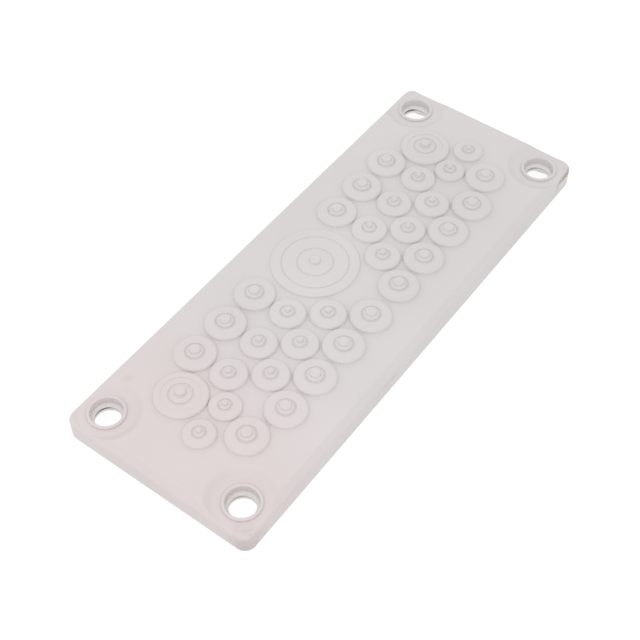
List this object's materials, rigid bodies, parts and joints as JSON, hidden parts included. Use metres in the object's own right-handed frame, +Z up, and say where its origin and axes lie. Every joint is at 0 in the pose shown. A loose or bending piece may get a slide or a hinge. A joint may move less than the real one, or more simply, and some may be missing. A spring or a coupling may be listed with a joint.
{
  "type": "cable grommet",
  "caption": "Flat membrane cable entry plate: soft pale grey skin over a stiff frame, round nippled domes to pierce, and a beaded screw hole in each corner",
  "frame": {"origin": "centre of the plate on the plane that the sealing rim rests on", "axes": "+X runs along the plate, +Y across it towards the side where the largest membrane sits, +Z up through the nipples"},
  "size_m": [0.2224, 0.0836, 0.0158],
  "materials": {
    "soft_skin": "smooth pale grey thermoplastic elastomer, satin",
    "stiff_core": "matt glass-filled polyamide, pale brown"
  },
  "bodies": {
    "root": {"membrane_skin": "soft_skin", "rigid_frame": "stiff_core"}
  },
  "joints": []
}
